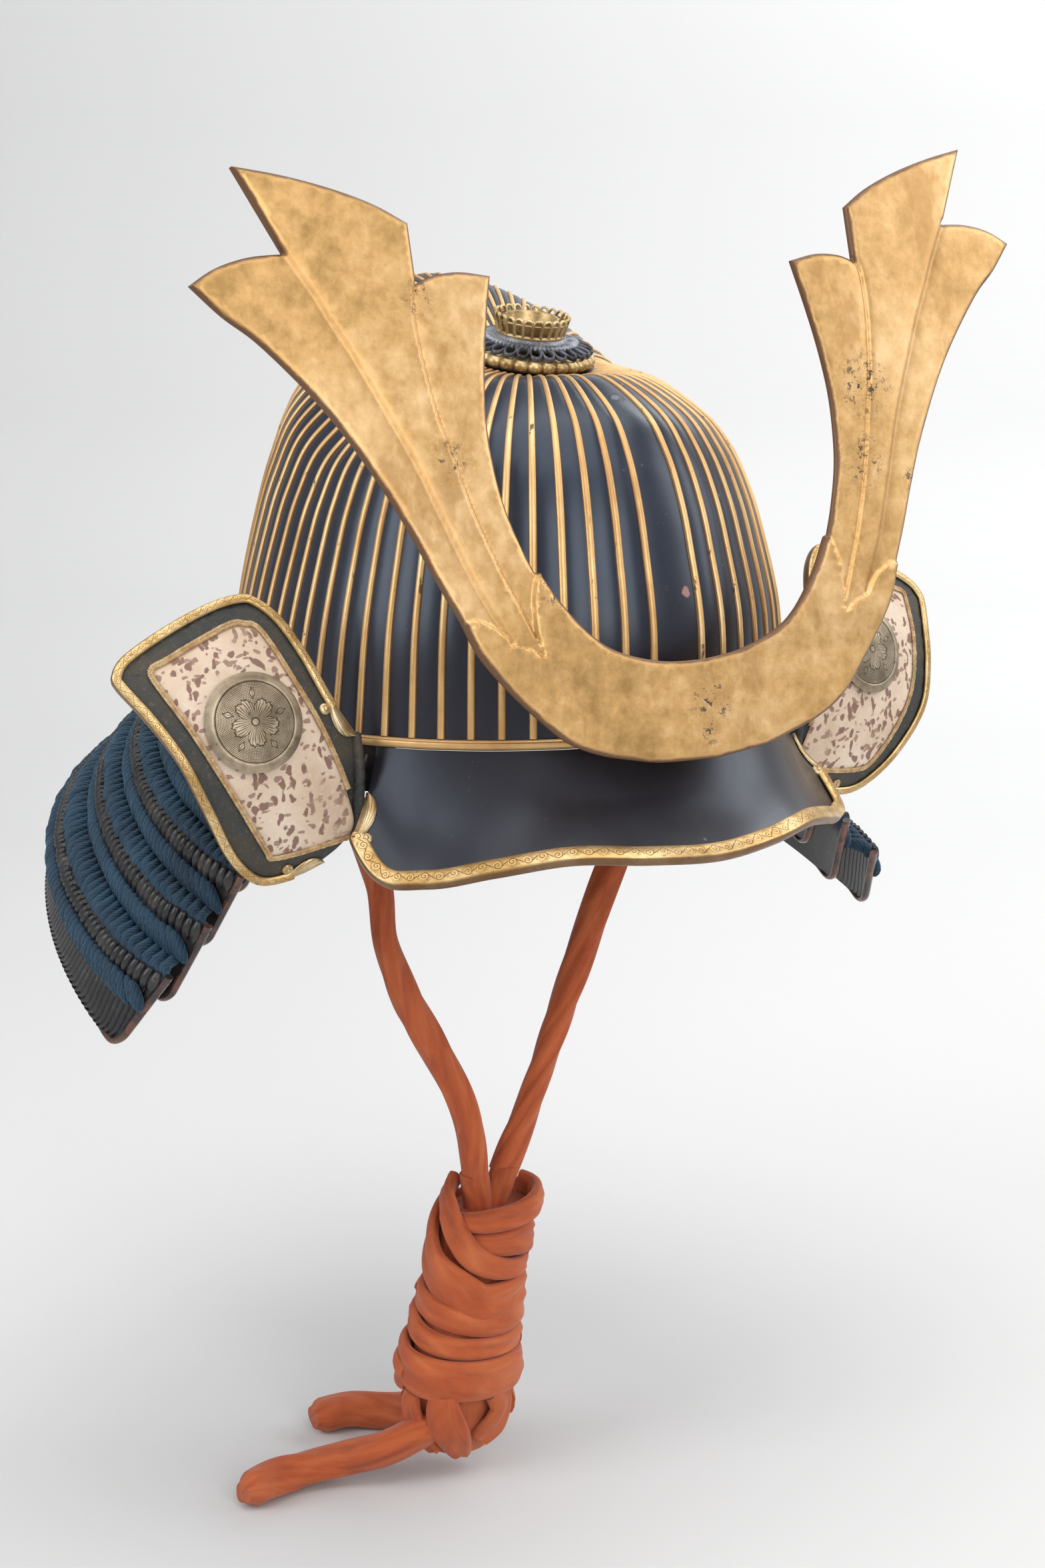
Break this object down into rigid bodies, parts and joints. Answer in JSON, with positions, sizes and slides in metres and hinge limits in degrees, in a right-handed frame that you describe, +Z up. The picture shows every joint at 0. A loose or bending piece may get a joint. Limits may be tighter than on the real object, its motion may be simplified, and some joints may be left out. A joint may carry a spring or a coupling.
{
  "type": "ribbed samurai helmet",
  "caption": "Ribbed melon-shaped samurai helmet with horned crest, visor, turned-back ear plates, laced flaring neck guard and knotted cloth chin cord.",
  "frame": {"origin": "centre of the bowl's mouth, in the plane where the bowl meets the moulding above visor and neck guard", "axes": "-Y is the front, +X is the wearer's left, +Z is up towards the crown"},
  "size_m": [0.4079, 0.3806, 0.5978],
  "materials": {
    "bowl_shell": "glossy black lacquer over riveted iron plates, gilt ribs",
    "waist_band": "worn gilt moulding",
    "waist_plate": "dark lacquer",
    "crown_petal_ring": "gilt copper, worn",
    "crown_openwork_ring": "dark patinated copper, pierced",
    "crown_washer": "dark patinated copper",
    "crown_collar": "gilt copper, pierced and engraved",
    "crown_tube": "gilt copper, worn",
    "visor_plate": "glossy black lacquer",
    "visor_rim": "engraved gilt copper",
    "crest_plate": "gold leaf on lacquer, worn and scratched",
    "crest_socket": "dark iron",
    "turnback_left_plate": "dark leather border over iron",
    "turnback_left_rim": "engraved gilt copper",
    "turnback_left_panel": "pale printed leather",
    "turnback_left_braid": "two-tone herringbone silk braid",
    "turnback_left_medallion": "aged engraved brass",
    "turnback_right_plate": "dark leather border over iron",
    "turnback_right_rim": "engraved gilt copper",
    "turnback_right_panel": "pale printed leather",
    "turnback_right_braid": "two-tone herringbone silk braid",
    "turnback_right_medallion": "aged engraved brass",
    "neck_lame_1": "dark brown lacquer on scales",
    "lacing_face_1": "dark blue silk lacing",
    "neck_lame_2": "dark brown lacquer on scales",
    "lacing_face_2": "dark blue silk lacing",
    "neck_lame_3": "dark brown lacquer on scales",
    "lacing_face_3": "dark blue silk lacing",
    "neck_lame_4": "dark brown lacquer on scales",
    "lacing_face_4": "dark blue silk lacing",
    "neck_lame_5": "dark brown lacquer on scales",
    "lacing_face_5": "dark blue silk lacing",
    "lacing_hang_1": "dark blue silk lacing",
    "lacing_hang_2": "dark blue silk lacing",
    "lacing_hang_3": "dark blue silk lacing",
    "lacing_hang_4": "dark blue silk lacing",
    "chin_cord_loop": "orange cloth tube",
    "chin_cord_hank": "orange cloth tube",
    "chin_cord_tail_front": "orange cloth tube",
    "chin_cord_tail_rear": "orange cloth tube",
    "cord_ring_left": "dark iron ring",
    "cord_ring_right": "dark iron ring"
  },
  "bodies": {
    "root": {"bowl_shell": "bowl_shell", "waist_band": "waist_band", "waist_plate": "waist_plate", "crown_petal_ring": "crown_petal_ring", "crown_openwork_ring": "crown_openwork_ring", "crown_washer": "crown_washer", "crown_collar": "crown_collar", "crown_tube": "crown_tube", "visor_plate": "visor_plate", "visor_rim": "visor_rim", "crest_plate": "crest_plate", "crest_socket": "crest_socket", "turnback_left_plate": "turnback_left_plate", "turnback_left_rim": "turnback_left_rim", "turnback_left_panel": "turnback_left_panel", "turnback_left_braid": "turnback_left_braid", "turnback_left_medallion": "turnback_left_medallion", "turnback_right_plate": "turnback_right_plate", "turnback_right_rim": "turnback_right_rim", "turnback_right_panel": "turnback_right_panel", "turnback_right_braid": "turnback_right_braid", "turnback_right_medallion": "turnback_right_medallion", "neck_lame_1": "neck_lame_1", "lacing_face_1": "lacing_face_1", "neck_lame_2": "neck_lame_2", "lacing_face_2": "lacing_face_2", "neck_lame_3": "neck_lame_3", "lacing_face_3": "lacing_face_3", "neck_lame_4": "neck_lame_4", "lacing_face_4": "lacing_face_4", "neck_lame_5": "neck_lame_5", "lacing_face_5": "lacing_face_5", "lacing_hang_1": "lacing_hang_1", "lacing_hang_2": "lacing_hang_2", "lacing_hang_3": "lacing_hang_3", "lacing_hang_4": "lacing_hang_4", "chin_cord_loop": "chin_cord_loop", "chin_cord_hank": "chin_cord_hank", "chin_cord_tail_front": "chin_cord_tail_front", "chin_cord_tail_rear": "chin_cord_tail_rear", "cord_ring_left": "cord_ring_left", "cord_ring_right": "cord_ring_right"}
  },
  "joints": []
}
